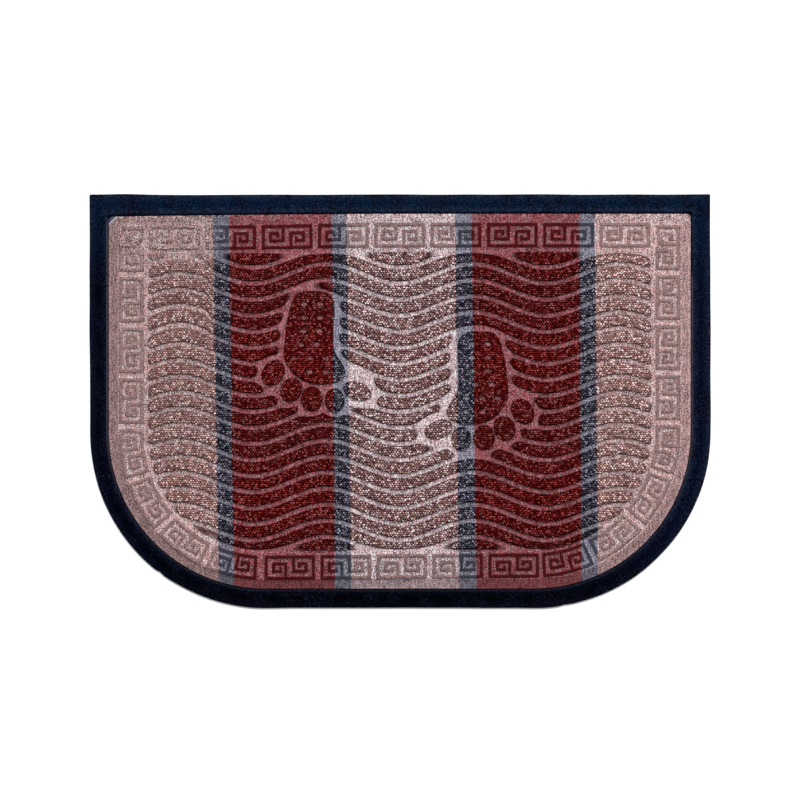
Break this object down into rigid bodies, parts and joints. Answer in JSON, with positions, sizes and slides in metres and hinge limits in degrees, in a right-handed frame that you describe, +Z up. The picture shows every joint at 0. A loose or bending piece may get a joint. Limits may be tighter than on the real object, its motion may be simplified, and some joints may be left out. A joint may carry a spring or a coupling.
{
  "type": "doormat",
  "caption": "Half-round rubber-edged doormat with a striped, embossed carpet face: wave ribs, a key-pattern border and a pair of footprints.",
  "frame": {"origin": "centre of the mat's bounding box, on its underside", "axes": "+X along the width, +Y towards the straight edge, +Z up out of the pile"},
  "size_m": [0.6, 0.4, 0.0063],
  "materials": {
    "moulded_rubber": "satin moulded rubber, near black with a blue cast",
    "looped_carpet": "embossed loop pile in dark red, beige and slate stripes on a fused, paler ground"
  },
  "bodies": {
    "root": {"rubber_tray": "moulded_rubber", "carpet_panel": "looped_carpet"}
  },
  "joints": []
}
